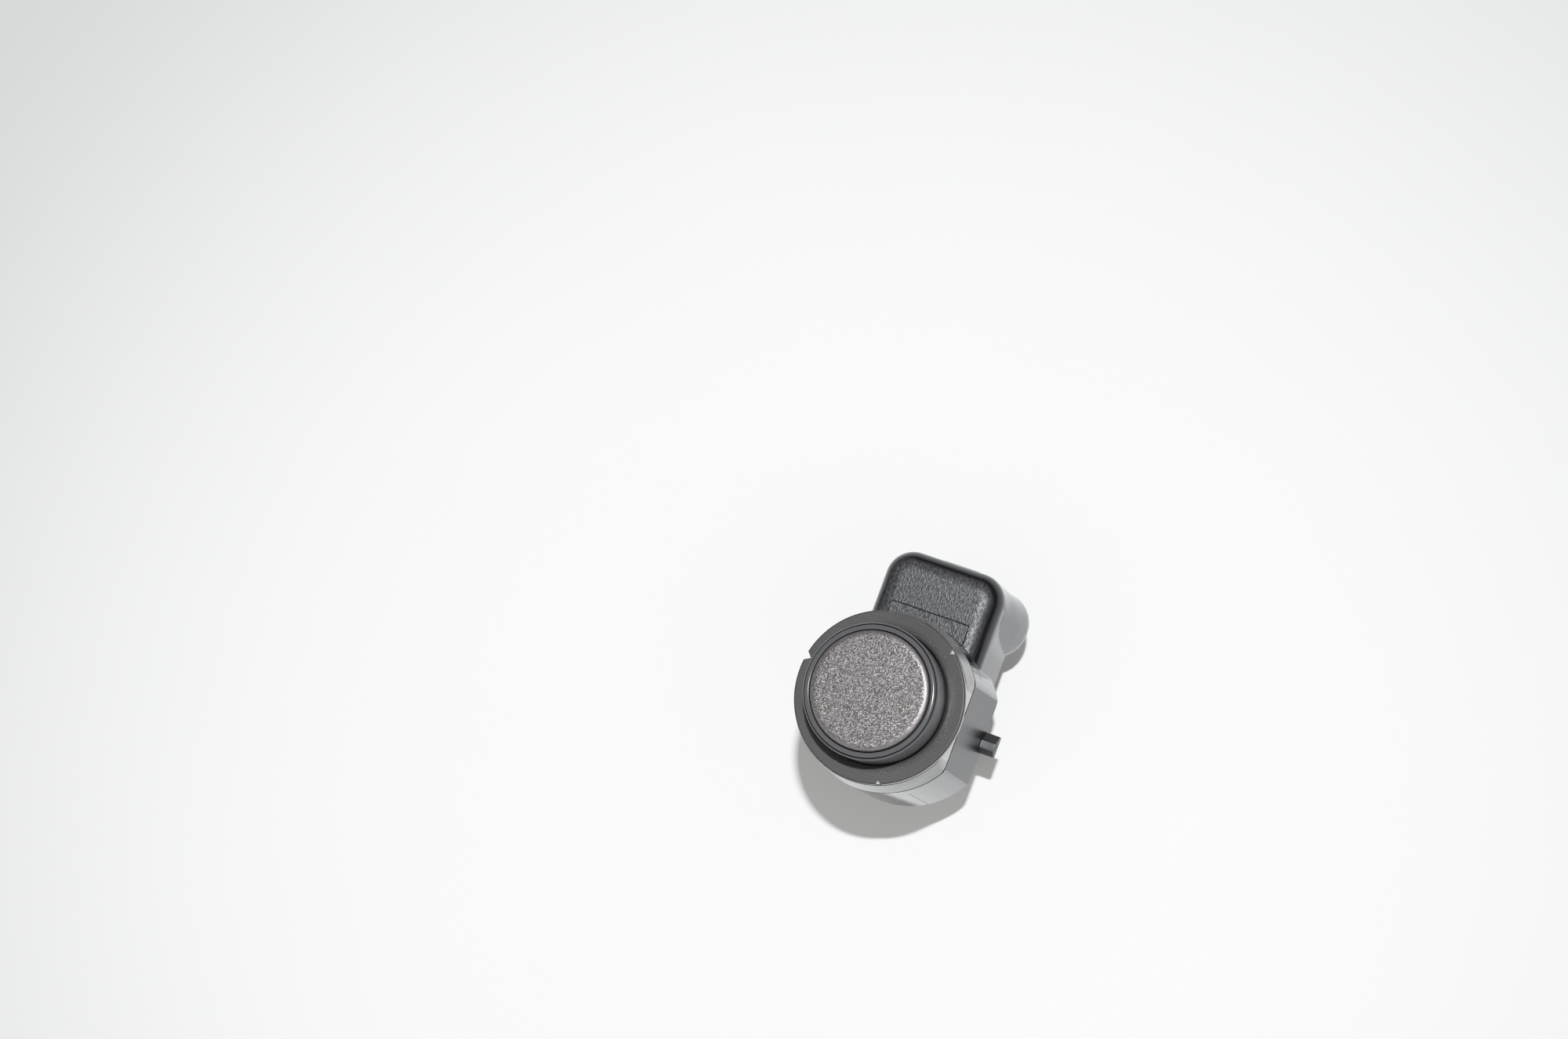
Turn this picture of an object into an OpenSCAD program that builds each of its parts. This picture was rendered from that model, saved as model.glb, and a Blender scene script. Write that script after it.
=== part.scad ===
// Ultrasonic parking sensor for a car bumper, in millimetres.
// +Z is the sensing direction, +Y points to the connector, X runs across the two flats.
// The origin lies on the sensing axis in the front face of the collar.

/* [Sensing head] */
// Diameter of the painted membrane, which is the front of the transducer cup
membrane_d = 15.4; // [14.6:0.1:16]
// Height of the membrane above the front face of the collar
head_reach = 5.8; // [5:0.1:6.6]
// Thickness of the vibrating membrane
membrane_t = 0.7; // [0.5:0.05:1]
// Rounding of the membrane's rim
membrane_round = 0.5; // [0.3:0.05:0.6]
// Length of the transducer cup along the sensing axis
cup_len = 8.5; // [8:0.1:9]
// Wall of the transducer cup
cup_wall = 1.3; // [1:0.1:1.5]
// Half width of the oval hollow in the cup
hollow_half = 4.8; // [4.2:0.1:5.2]
// Diameter of the piezo disc
piezo_d = 7; // [6.4:0.1:8]
// Thickness of the piezo disc
piezo_t = 0.25; // [0.2:0.05:0.4]
// Thickness of the damping pad behind the piezo disc
pad_t = 3; // [2:0.1:3.5]
// Diameter of the two thin leads
lead_d = 0.35; // [0.25:0.05:0.5]
// Distance of each lead and transducer pin from the sensing axis
lead_x = 2.5; // [2:0.1:2.8]

/* [Decoupling ring] */
// Wall of the silicone ring around the cup
ring_wall = 0.9; // [0.7:0.05:1]
// Drop of the ring's lip below the membrane
lip_drop = 0.2; // [0.1:0.05:0.4]
// Depth of the neck that the collar grips
neck_depth = 0.35; // [0.25:0.05:0.45]
// How far the ring's rear flange stands out past its wall
flange_out = 0.45; // [0.35:0.05:0.5]

/* [Collar] */
// Diameter of the collar's front face
collar_d = 22.3; // [22:0.1:22.8]
// Height of the collar from its front face to the seam
collar_h = 5.05; // [4.8:0.05:5.4]
// Thickness of the round front flange of the collar
rim_t = 1; // [0.8:0.1:1.3]
// Rounding of the rim of the front flange
rim_round = 0.25; // [0.1:0.05:0.35]
// Width of the shallow bevel around the hole for the head
bevel_w = 0.45; // [0.2:0.05:0.5]
// Gap between the collar's hole and the head
head_gap = 0.15; // [0.1:0.05:0.25]
// Width of the key notch at the rim
notch_w = 1.3; // [0.8:0.1:1.6]
// Depth of the key notch
notch_depth = 0.8; // [0.5:0.1:1]
// Width of the two index nicks at the rim
nick_w = 0.8; // [0.4:0.1:1]
// Depth of the two index nicks
nick_depth = 0.65; // [0.4:0.05:0.8]
// Depth of the shallow relief in the rim beside the connector
relief_depth = 0.25; // [0.2:0.05:0.5]

/* [Housing] */
// Diameter of the round body behind the seam
body_d = 23.3; // [23:0.1:24]
// Width across the two flats
flats_w = 20.1; // [19.8:0.1:20.6]
// Distance of the round body's rear face behind the collar's front face
body_rear = 20.5; // [20:0.1:22]
// Distance of the base, which is the chamber's rear rim, behind the collar's front face
base_depth = 33; // [32:0.5:36]
// Wall of the rear chamber
chamber_wall = 1.15; // [0.9:0.05:1.4]
// Width of the rear chamber
chamber_w = 11; // [10.6:0.1:12.4]
// How far the rear chamber reaches from the axis, away from the connector
chamber_back = 5; // [4.6:0.1:6]
// Visible gap of the seam between collar and body
seam_gap = 0.4; // [0.25:0.05:0.45]
// Width of each snap lug
lug_w = 2.9; // [2:0.1:4]
// How far each snap lug stands out from its flat
lug_out = 2.1; // [1.2:0.1:2.6]
// Thickness of each snap lug along the axis
lug_t = 1.6; // [1.2:0.1:2.4]

/* [Connector] */
// Width of the connector box
box_w = 16.4; // [15.6:0.1:18]
// Distance of the connector box's far wall from the sensing axis
box_reach = 20.4; // [20:0.1:22]
// Distance of the connector box's top face behind the collar's front face
box_top = 10.2; // [9.4:0.1:11]
// Rounding of the box's top edges
box_round = 2.8; // [2:0.1:3.2]
// Rounding of the box's two far corners
box_corner = 3.7; // [3.3:0.1:4]
// Step between the box's lower band and its raised panel
panel_step = 0.15; // [0.1:0.05:0.3]
// Distance of the connector's mouth behind the collar's front face
mouth_depth = 23.3; // [22.6:0.1:24]
// Width of the oval shroud around the connector's mouth
shroud_w = 20; // [19:0.1:20.8]
// Thickness of the shroud, from its near wall to its far wall
shroud_t = 8.8; // [8.4:0.1:9]
// Inset of the shroud's far wall from the box's far wall
shroud_inset = 0.35; // [0.2:0.05:0.5]
// Wall of the shroud
shroud_wall = 1.15; // [0.9:0.05:1.3]
// Depth of the wide part of the socket, which takes the plug's seal
pocket_depth = 3.6; // [3:0.1:4]
// Length of the terminals inside the socket
terminal_len = 6.6; // [6:0.1:7]
// Width of each square terminal
terminal_w = 0.64; // [0.5:0.02:0.8]
// Distance from one terminal to the next
terminal_pitch = 2.54; // [2.2:0.02:2.8]

/* [Electronics] */
// Thickness of the circuit board
board_t = 1; // [0.8:0.1:1.2]
// Distance of the board's component face from the sensing axis
board_y = 5.9; // [5.6:0.1:6.1]
// Diameter of the transformer's ferrite cup
core_d = 6.6; // [6:0.1:7]
// Length of the transformer from the board
transformer_len = 6.2; // [5.6:0.1:6.8]
// Recess of the potting compound inside the chamber's rim
potting_recess = 0.5; // [0.3:0.1:1]

/* [Hidden] */

$fn = 96;
// Clearance between pieces that are pushed or moulded together
fit_gap = 0.05;
// Overlap that keeps cutting shapes clear of coincident faces
cut = 0.5;
// Segments in a quarter of a rounded outline
arc_steps = 8;
// Small step between edges that would otherwise meet
edge_step = 0.1;

// Transducer stack, from the membrane to the rear of the cup
cup_r = membrane_d / 2;
cup_rear = head_reach - cup_len;
hollow_r = cup_r - cup_wall;
hollow_top = head_reach - membrane_t;
piezo_rear = hollow_top - piezo_t;
pad_rear = piezo_rear - pad_t;

// Decoupling ring
ring_in_r = cup_r + fit_gap;
ring_r = ring_in_r + ring_wall;
lip_z = head_reach - lip_drop;
lip_round = 0.3;
lip_inner = 0.15;
lip_band = 0.5;
lip_groove = 0.15;
bead_r = 0.35;
bead_turn = 60;
bead_z = lip_z - lip_band - bead_r;
neck_r = ring_r - neck_depth;
flange_r = ring_r + flange_out;
ring_rear = -(collar_h - 2 * fit_gap);
ring_hole_r = hollow_r + 2 * edge_step;

// Collar: hole with a bevel, gripping lip and counterbore for the ring's flange
collar_r = collar_d / 2;
hole_r = ring_r + head_gap;
grip_r = neck_r + 2 * fit_gap;
grip_front = 1.1;
grip_rear = 2.5;
counterbore_r = flange_r + 2 * fit_gap;
skirt_front_r = collar_r + fit_gap;
rim_groove = 0.06;
bevel_depth = 0.12;
flat_x = flats_w / 2;
body_r = body_d / 2;
key_angle = 170;
index_angles = [50, 290];
nick_t = 0.6;
relief_from = 76;
relief_to = 104;
relief_out_r = collar_r + cut;

// Housing
body_front = -(collar_h + seam_gap);
weld_rib_w = 0.5;
weld_rib_r = counterbore_r + weld_rib_w;
seat_depth = 2.1;
seat_z = body_front - seat_depth;
seat_w = 0.4;
bore_r = counterbore_r - seat_w;
rear_wall = 1.5;
bore_rear = -(body_rear - rear_wall);
rear_bevel = 0.4;
base_z = -base_depth;
chamber_corner = 1.5;
hollow_corner = 0.5;
lug_rise = 0.7;
lug_far_bevel = 1.15;
lug_near_bevel = 0.65;
lug_tip = 0.15;

// Connector
mouth_z = -mouth_depth;
shroud_far = box_reach - shroud_inset;
shroud_near = shroud_far - shroud_t;
shroud_corner = shroud_t / 2 - edge_step;
shroud_band = 0.8;
flare_inset = 0.15;
flare_top = -(box_top + box_round);
socket_y = (shroud_far + shroud_near) / 2;
socket_corner = shroud_corner - shroud_wall;
chamber_front_y = shroud_near + edge_step;
panel_y = 13.1;
latch_w = 5;
latch_out = 0.85;
latch_len = 3;
latch_up = 3;
latch_z = mouth_z + latch_up;
terminal_point = 0.5;

// Electronics
board_rear_y = board_y + board_t;
board_w = chamber_w - 2 * (chamber_wall + 2 * fit_gap);
carrier_r = counterbore_r - 2 * fit_gap;
carrier_front = ring_rear - fit_gap;
carrier_rear = seat_z + fit_gap;
board_drop = 2.25;
board_front_z = carrier_rear - board_drop;
board_up = 2;
board_base_z = base_z + board_up;
board_len = board_front_z - board_base_z;
pin_w = 0.6;
pin_drop = 0.7;
pin_top = cup_rear - pin_drop;
pin_tail = 0.6;
pin_proud = 0.4;
boss_r = ring_hole_r - 2 * fit_gap;
boss_top = pin_top - pin_proud;
transformer_margin = 1;
transformer_z = board_base_z + transformer_margin + core_d / 2;

// Places along the board, as parts of its length from the front end
function along_board(part) = board_front_z - part * board_len;
pin_bend_z = along_board(0.047);
bridge_z = along_board(0.118);
capacitor_z = along_board(0.228);
chip_z = along_board(0.502);
diode_z = along_board(0.646);
buffer_z = along_board(0.842);

// Socket, below the terminals' bridge
socket_roof = 0.8;
socket_top = bridge_z - terminal_w / 2 - socket_roof;
terminal_tip = socket_top - terminal_len;

// Components
chip_w = 5;
chip_h = board_len * 0.195;
chip_t = 1.5;
chip_lead_w = 0.35;
chip_leads = 6;
chip_lead_pitch = chip_h / (chip_leads + 0.5);
chip_lead_out = 0.9;
base_plate_t = 0.8;
core_wall = 0.5;
core_r = core_d / 2;
post_r = 1;
tube_in_r = post_r + edge_step;
tube_wall = 0.5;
tube_r = tube_in_r + tube_wall;
spool_r = core_r - core_wall - edge_step;
spool_flange_t = 0.5;
capacitor_size = [1.25, 0.9, 2];
capacitor_pitch = 2.1;
capacitor_count = 4;
resistor_size = [0.8, 0.45, 1.6];
resistor_pitch = 1.6;
resistor_count = 5;
diode_size = [4.3, 2.1, 2.6];
buffer_size = [3.5, 1.9, 2.8];

// Points along an arc, for rounded outlines
function arc(cx, cy, r, from, to) =
  [for (i = [0:arc_steps]) let (a = from + (to - from) * i / arc_steps) [cx + r * cos(a), cy + r * sin(a)]];

// A rectangle with equal rounded corners
function rounded_outline(x0, x1, y0, y1, r) = concat(
  arc(x1 - r, y1 - r, r, 0, 90),
  arc(x0 + r, y1 - r, r, 90, 180),
  arc(x0 + r, y0 + r, r, 180, 270),
  arc(x1 - r, y0 + r, r, 270, 360)
);

// A prism between two heights
module prism(points, low, high) {
  translate([0, 0, low]) linear_extrude(height = high - low) polygon(points);
}

// A round solid between two heights
module disc(r, low, high) {
  translate([0, 0, low]) cylinder(r = r, h = high - low);
}

// A box given by two opposite corners
module block(low, high) {
  translate(low) cube(high - low);
}

// The space between the two flats
module between_flats(low, high) {
  block([-flat_x, -body_d, low], [flat_x, body_d, high]);
}

// The oval hollow of the cup, made smaller by a clearance
module cup_hollow(low, high, clear) {
  intersection() {
    disc(hollow_r - clear, low, high);
    block([-body_d, clear - hollow_half, low - cut], [body_d, hollow_half - clear, high + cut]);
  }
}

// Both thin leads, from the piezo disc to the transducer pins
module lead(x, grow = 0) {
  translate([x, 0, pin_top]) cylinder(d = lead_d + 2 * grow, h = piezo_rear - pin_top);
}

module both_leads(grow) {
  for (x = [-lead_x, lead_x]) lead(x, grow);
}

module transducer_cup() {
  color("#8d878c") difference() {
    rotate_extrude() polygon(concat(
      [[0, cup_rear], [cup_r, cup_rear]],
      arc(cup_r - membrane_round, head_reach - membrane_round, membrane_round, 0, 90),
      [[0, head_reach]]
    ));
    cup_hollow(cup_rear - cut, hollow_top, 0);
  }
}

module piezo_disc() {
  color("#c9b99a") disc(piezo_d / 2, piezo_rear, hollow_top);
}

module damping_pad() {
  color("#5b5e63") difference() {
    cup_hollow(pad_rear, piezo_rear, fit_gap);
    both_leads(fit_gap);
  }
}

module cup_seal() {
  color("#b9b7b2") difference() {
    cup_hollow(cup_rear, pad_rear, fit_gap);
    both_leads(fit_gap);
  }
}

module signal_lead() {
  color("#b3402f") lead(lead_x);
}

module return_lead() {
  color("#2b2b2d") lead(-lead_x);
}

// Silicone ring: lip beside the membrane, bead under a groove, plain wall, neck and rear flange
module decoupling_ring() {
  color("#4a4a4e") rotate_extrude() polygon(concat(
    [
      [ring_hole_r, ring_rear],
      [flange_r, ring_rear],
      [flange_r, -grip_rear - fit_gap],
      [neck_r, -grip_rear - fit_gap],
      [neck_r, -neck_depth],
      [ring_r, 0]
    ],
    arc(ring_r - bead_r, bead_z, bead_r, 0, bead_turn),
    [[ring_r - lip_groove, lip_z - lip_band], [ring_r, lip_z - lip_band + edge_step]],
    arc(ring_r - lip_round, lip_z - lip_round, lip_round, 0, 90),
    arc(ring_in_r + lip_inner, lip_z - lip_inner, lip_inner, 90, 180),
    [
      [ring_in_r, cup_rear - fit_gap],
      [ring_hole_r, cup_rear - fit_gap]
    ]
  ));
}

// A V-shaped cut in the collar's rim, pointing at the axis
module rim_cut(angle, width, depth, low) {
  spread = width / 2 / depth;
  rotate([0, 0, angle]) prism([
    [collar_r - depth, 0],
    [collar_r + depth, -2 * depth * spread],
    [collar_r + depth, 2 * depth * spread]
  ], low, cut);
}

// Round front flange on a skirt that has the body's two flats
module collar_solid() {
  rotate_extrude() polygon(concat(
    [
      [0, -rim_t - rim_groove],
      [collar_r - rim_groove, -rim_t - rim_groove],
      [collar_r - rim_groove, -rim_t],
      [collar_r, -rim_t + rim_groove]
    ],
    arc(collar_r - rim_round, -rim_round, rim_round, 0, 90),
    [[0, 0]]
  ));
  intersection() {
    rotate_extrude() polygon([
      [0, -collar_h],
      [body_r, -collar_h],
      [skirt_front_r, -rim_t - rim_groove],
      [0, -rim_t - rim_groove]
    ]);
    between_flats(-collar_h - cut, 0);
  }
}

module front_collar() {
  color("#646568") difference() {
    collar_solid();
    rotate_extrude() polygon([
      [0, cut],
      [hole_r + bevel_w, cut],
      [hole_r + bevel_w, 0],
      [hole_r, -bevel_depth],
      [hole_r, -grip_front + edge_step],
      [grip_r, -grip_front],
      [grip_r, -grip_rear],
      [counterbore_r, -grip_rear],
      [counterbore_r, -collar_h - cut],
      [0, -collar_h - cut]
    ]);
    rim_cut(key_angle, notch_w, notch_depth, -collar_h - cut);
    for (angle = index_angles) rim_cut(angle, nick_w, nick_depth, -nick_t);
    prism([
      (collar_r - relief_depth) * [cos(relief_to), sin(relief_to)],
      collar_r * [cos(relief_from), sin(relief_from)],
      relief_out_r * [cos(relief_from), sin(relief_from)],
      relief_out_r * [cos(relief_to), sin(relief_to)]
    ], -rim_t, cut);
  }
}

// An L-shaped transducer pin from the carrier to the circuit board
module transducer_pin(x) {
  translate([x - pin_w / 2, 0, 0]) {
    block([0, -pin_w / 2, pin_bend_z - pin_w / 2], [pin_w, pin_w / 2, pin_top]);
    block([0, -pin_w / 2, pin_bend_z - pin_w / 2],
      [pin_w, board_rear_y + pin_tail, pin_bend_z + pin_w / 2]);
  }
}

module signal_pin() {
  color("#c8c6c0") transducer_pin(lead_x);
}

module return_pin() {
  color("#c8c6c0") transducer_pin(-lead_x);
}

// Plastic disc behind the ring that holds the two transducer pins
module contact_carrier() {
  color("#3a3b3e") difference() {
    union() {
      disc(carrier_r, carrier_rear, carrier_front);
      disc(boss_r, carrier_rear, boss_top);
    }
    for (x = [-lead_x, lead_x]) transducer_pin(x);
  }
}

// Round body with two flats and a bevelled rear edge
module body_solid() {
  intersection() {
    rotate_extrude() polygon([
      [0, -body_rear],
      [body_r - rear_bevel, -body_rear],
      [body_r, -body_rear + rear_bevel],
      [body_r, body_front],
      [0, body_front]
    ]);
    between_flats(-body_rear - cut, 0);
  }
  disc(weld_rib_r, body_front - cut, -collar_h);
}

// Snap lug on the flat at +X: a small front face with bevels on its three free sides
module snap_lug() {
  front = -body_rear + lug_t;
  half = lug_w / 2;
  intersection() {
    rotate([90, 0, 0]) prism([
      [flat_x - cut, -body_rear],
      [flat_x + lug_out, -body_rear],
      [flat_x + lug_out, front - lug_rise],
      [flat_x + lug_out - lug_tip, front],
      [flat_x - cut, front]
    ], -lug_w, lug_w);
    rotate([90, 0, 90]) prism([
      [-half, -body_rear],
      [half, -body_rear],
      [half, front - lug_rise],
      [half - lug_far_bevel, front],
      [lug_near_bevel - half, front],
      [-half, front - lug_rise]
    ], 0, body_d);
  }
}

// An upright post with a rounded top, one corner of the connector box
module box_post(x, y, r, top_round) {
  top = -box_top;
  translate([x, y, 0]) rotate_extrude($fn = 48) polygon(concat(
    [[0, mouth_z], [r, mouth_z]],
    arc(r - top_round, top - top_round, top_round, 0, 90),
    [[0, top]]
  ));
}

// Box over the socket, rounded along its top edges and far corners
module box_solid() {
  far = box_reach - box_corner;
  side = box_w / 2;
  difference() {
    hull() for (s = [-1, 1]) {
      box_post(s * (side - box_corner), far, box_corner, box_round);
      box_post(s * (side - box_round), box_round, box_round, box_round);
    }
    block([box_round - side, 0, -box_top - panel_step], [side - box_round, panel_y, -box_top + cut]);
  }
}

// A flat slice of the shroud or of its hollow, made smaller by an inset
module shroud_slice(width, inset, corner, low, high) {
  side = width / 2 - inset;
  prism(rounded_outline(-side, side, shroud_near + inset, shroud_far - inset, corner), low, high);
}

// Oval shroud whose walls spread from the box's rounded top to the mouth
module shroud_solid() {
  band_top = mouth_z + shroud_band;
  shroud_slice(shroud_w, 0, shroud_corner, mouth_z, band_top);
  hull() {
    shroud_slice(shroud_w, 0, shroud_corner, band_top - edge_step, band_top);
    shroud_slice(box_w, flare_inset, shroud_corner - cut, flare_top - edge_step, flare_top);
  }
}

// Narrow socket around the terminals, opening into the wide pocket for the plug's seal
module socket_hollow() {
  pocket_top = mouth_z + pocket_depth;
  shroud_slice(box_w, shroud_wall, socket_corner, pocket_top - cut, socket_top);
  shroud_slice(shroud_w, shroud_wall, socket_corner, mouth_z - cut, pocket_top);
}

// Ramp on the shroud's far wall that a plug's latch clips over
module latch_ramp() {
  rotate([90, 0, 90]) prism([
    [shroud_far - cut, latch_z],
    [shroud_far, latch_z],
    [shroud_far + latch_out, latch_z + latch_len - latch_out],
    [shroud_far + latch_out, latch_z + latch_len],
    [shroud_far - cut, latch_z + latch_len]
  ], -latch_w / 2, latch_w / 2);
}

// The three terminals' places across the socket
function terminal_x(i) = (i - 1) * terminal_pitch;

// An L-shaped terminal from the socket through the bridge to the circuit board
module terminal(i) {
  half = terminal_w / 2;
  tail = board_y - pin_tail;
  rotate([90, 0, 90]) prism([
    [tail, bridge_z - half],
    [socket_y - half, bridge_z - half],
    [socket_y - half, terminal_tip + terminal_point],
    [socket_y - half / 2, terminal_tip],
    [socket_y + half / 2, terminal_tip],
    [socket_y + half, terminal_tip + terminal_point],
    [socket_y + half, bridge_z + half],
    [tail, bridge_z + half]
  ], terminal_x(i) - half, terminal_x(i) + half);
}

// The chamber's hollow, behind the round body's bore
module chamber_hollow(low) {
  side = chamber_w / 2 - chamber_wall;
  near = chamber_wall - chamber_back;
  far = chamber_front_y - chamber_wall;
  prism(rounded_outline(-side, side, near, far, hollow_corner), low, bore_rear);
}

module housing() {
  color("#3c3d41") difference() {
    union() {
      body_solid();
      snap_lug();
      mirror([1, 0, 0]) snap_lug();
      box_solid();
      shroud_solid();
      prism(rounded_outline(-chamber_w / 2, chamber_w / 2, -chamber_back, chamber_front_y, chamber_corner),
        base_z, -body_rear + cut);
      latch_ramp();
    }
    disc(counterbore_r, seat_z, 0);
    disc(bore_r, bore_rear, 0);
    chamber_hollow(base_z - cut);
    socket_hollow();
    for (i = [0:2]) terminal(i);
  }
}

module board_blank() {
  block([-board_w / 2, board_y, board_base_z], [board_w / 2, board_rear_y, board_front_z]);
}

module circuit_board() {
  color("#1f5a3a") difference() {
    board_blank();
    for (i = [0:2]) terminal(i);
    for (x = [-lead_x, lead_x]) transducer_pin(x);
  }
}

// A component on the face towards the axis, given by its size and place on the board
module on_front(size, x, z) {
  block([x - size.x / 2, board_y - size.y, z - size.z / 2], [x + size.x / 2, board_y, z + size.z / 2]);
}

// A component on the face towards the connector
module on_back(size, x, z) {
  block([x - size.x / 2, board_rear_y, z - size.z / 2],
    [x + size.x / 2, board_rear_y + size.y, z + size.z / 2]);
}

module control_chip() {
  color("#26272a") {
    on_front([chip_w, chip_t, chip_h], 0, chip_z);
    for (i = [0:chip_leads - 1]) {
      z = chip_z + (i - (chip_leads - 1) / 2) * chip_lead_pitch;
      on_front([chip_w + 2 * chip_lead_out, chip_lead_w, chip_lead_w], 0, z);
    }
  }
}

// Turns a shape drawn around +Z so that it stands on the board around the transformer's axis
module on_transformer_axis() {
  translate([0, board_y, transformer_z]) rotate([90, 0, 0]) children();
}

module transformer_bobbin() {
  color("#d8d0b8") on_transformer_axis() rotate_extrude() polygon([
    [tube_in_r, 0],
    [core_r, 0],
    [core_r, base_plate_t],
    [tube_r, base_plate_t],
    [tube_r, transformer_len - core_wall - fit_gap - spool_flange_t],
    [spool_r, transformer_len - core_wall - fit_gap - spool_flange_t],
    [spool_r, transformer_len - core_wall - fit_gap],
    [tube_in_r, transformer_len - core_wall - fit_gap]
  ]);
}

module transformer_winding() {
  color("#b4642c") on_transformer_axis() rotate_extrude() polygon([
    [tube_r + fit_gap, base_plate_t + fit_gap],
    [spool_r - fit_gap, base_plate_t + fit_gap],
    [spool_r - fit_gap, transformer_len - core_wall - 2 * fit_gap - spool_flange_t],
    [tube_r + fit_gap, transformer_len - core_wall - 2 * fit_gap - spool_flange_t]
  ]);
}

module transformer_core() {
  color("#4b4a48") on_transformer_axis() rotate_extrude() polygon([
    [0, fit_gap],
    [post_r, fit_gap],
    [post_r, transformer_len - core_wall],
    [core_r - core_wall, transformer_len - core_wall],
    [core_r - core_wall, base_plate_t + fit_gap],
    [core_r, base_plate_t + fit_gap],
    [core_r, transformer_len],
    [0, transformer_len]
  ]);
}

module buffer_capacitor() {
  color("#c28b3a") on_back(buffer_size, 0, buffer_z);
}

module protection_diode() {
  color("#2d2d30") on_back(diode_size, 0, diode_z);
}

module ceramic_capacitors() {
  color("#a98f6b") for (i = [0:capacitor_count - 1])
    on_front(capacitor_size, (i - (capacitor_count - 1) / 2) * capacitor_pitch, capacitor_z);
}

module chip_resistors() {
  color("#202124") for (i = [0:resistor_count - 1])
    on_back(resistor_size, (i - (resistor_count - 1) / 2) * resistor_pitch, capacitor_z);
}

module supply_terminal() {
  color("#cfcac0") terminal(0);
}

module data_terminal() {
  color("#cfcac0") terminal(1);
}

module ground_terminal() {
  color("#cfcac0") terminal(2);
}

// Compound that fills the body and chamber around the electronics
module potting_compound() {
  color("#1f2023") difference() {
    union() {
      disc(bore_r, bore_rear, carrier_rear - fit_gap);
      chamber_hollow(base_z + potting_recess);
    }
    board_blank();
    control_chip();
    on_transformer_axis() cylinder(r = core_r, h = transformer_len);
    buffer_capacitor();
    protection_diode();
    ceramic_capacitors();
    chip_resistors();
    for (x = [-lead_x, lead_x]) transducer_pin(x);
    for (i = [0:2]) terminal(i);
  }
}

transducer_cup();
piezo_disc();
damping_pad();
cup_seal();
signal_lead();
return_lead();
decoupling_ring();
front_collar();
contact_carrier();
signal_pin();
return_pin();
housing();
circuit_board();
control_chip();
transformer_bobbin();
transformer_winding();
transformer_core();
buffer_capacitor();
protection_diode();
ceramic_capacitors();
chip_resistors();
supply_terminal();
data_terminal();
ground_terminal();
potting_compound();
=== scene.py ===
"""Looks of the parking sensor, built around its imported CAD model."""

import math

import bmesh
import bpy
from bpy.props import FloatProperty, FloatVectorProperty, IntProperty, PointerProperty
from mathutils import Matrix, Vector


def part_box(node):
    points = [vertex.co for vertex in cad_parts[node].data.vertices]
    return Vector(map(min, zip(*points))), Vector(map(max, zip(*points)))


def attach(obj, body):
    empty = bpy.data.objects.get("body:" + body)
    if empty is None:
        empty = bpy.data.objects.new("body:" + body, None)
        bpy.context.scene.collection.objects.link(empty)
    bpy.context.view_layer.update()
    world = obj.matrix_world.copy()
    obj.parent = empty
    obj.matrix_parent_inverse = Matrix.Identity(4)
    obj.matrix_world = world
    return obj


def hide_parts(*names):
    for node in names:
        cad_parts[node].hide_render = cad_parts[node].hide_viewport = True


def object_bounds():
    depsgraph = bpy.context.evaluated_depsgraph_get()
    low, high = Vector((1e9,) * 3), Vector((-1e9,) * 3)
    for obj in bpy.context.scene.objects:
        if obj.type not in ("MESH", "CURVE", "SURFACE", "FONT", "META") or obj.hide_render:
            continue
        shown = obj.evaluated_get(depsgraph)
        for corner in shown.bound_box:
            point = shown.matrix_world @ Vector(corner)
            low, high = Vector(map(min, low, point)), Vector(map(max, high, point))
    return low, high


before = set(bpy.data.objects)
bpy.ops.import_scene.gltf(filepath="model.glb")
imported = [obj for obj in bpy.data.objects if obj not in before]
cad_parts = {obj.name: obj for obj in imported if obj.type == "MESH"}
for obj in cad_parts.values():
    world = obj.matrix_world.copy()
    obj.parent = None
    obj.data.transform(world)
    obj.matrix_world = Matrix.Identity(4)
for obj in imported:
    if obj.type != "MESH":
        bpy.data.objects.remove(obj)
cad_box = [list(corner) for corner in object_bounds()]

bl_info = {
    "name": "Parking sensor looks",
    "version": (1, 0, 0),
    "blender": (4, 5, 0),
    "location": "View3D > Sidebar > Parking sensor",
    "description": "Dresses the parking sensor in paint, silicone, plastic and metal on a plain stage",
    "category": "Object",
}

MM = 0.001
BODY = "root"

# The photo's frame and the camera found from the round edges of the head and collar
PHOTO_WIDTH = 2000
FOCAL_PIXELS = 4660
SENSOR_WIDTH = 36
CAMERA_PLACE = Vector((117.797, -26.229, 447.207)) * MM
CAMERA_RIGHT = Vector((0.905489, 0.346571, -0.244895))
CAMERA_UP = Vector((-0.307150, 0.933115, 0.185716))
CAMERA_BACK = Vector((0.293113, -0.092994, 0.951256))

# The lamp overhead, found from the shadows on the table; its sides are parts of its distance
LIGHT_TOWARDS = Vector((0.188, 0.168, 1.0))
LIGHT_DISTANCE = 1.1
LIGHT_WIDTH = 0.041
LIGHT_HEIGHT = 0.016
LIGHT_COLOUR = (0.975, 0.985, 1.0)

# Heights in the room, as sines of the elevation, between which its soft light rises and falls
SKY_RISE = (0.26, 0.50)
SKY_FALL = (0.80, 0.92)

# The side that most of the room's light comes from, which is below the photo, and its fall to the rest
SKY_SIDE = Vector((-CAMERA_UP.x, -CAMERA_UP.y, 0.0)).normalized()
SKY_TURN = (-0.6, 0.7)
SKY_REST = 0.3

# The colour of the room's light
SKY_COLOUR = (1.0, 0.995, 0.965, 1.0)

# The middle of the pool of light painted on the floor, and the distances between which it fades to the
# darker far floor
FLOOR_LIGHT_POOL_MIDDLE = Vector((-11.8, -17.8, 0.0)) * MM
FLOOR_LIGHT_POOL_FADE = (45 * MM, 185 * MM)

# Half the floor's side, and the size of its faint patches
FLOOR_HALF = 0.6
FLOOR_PATCH = 0.03

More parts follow.
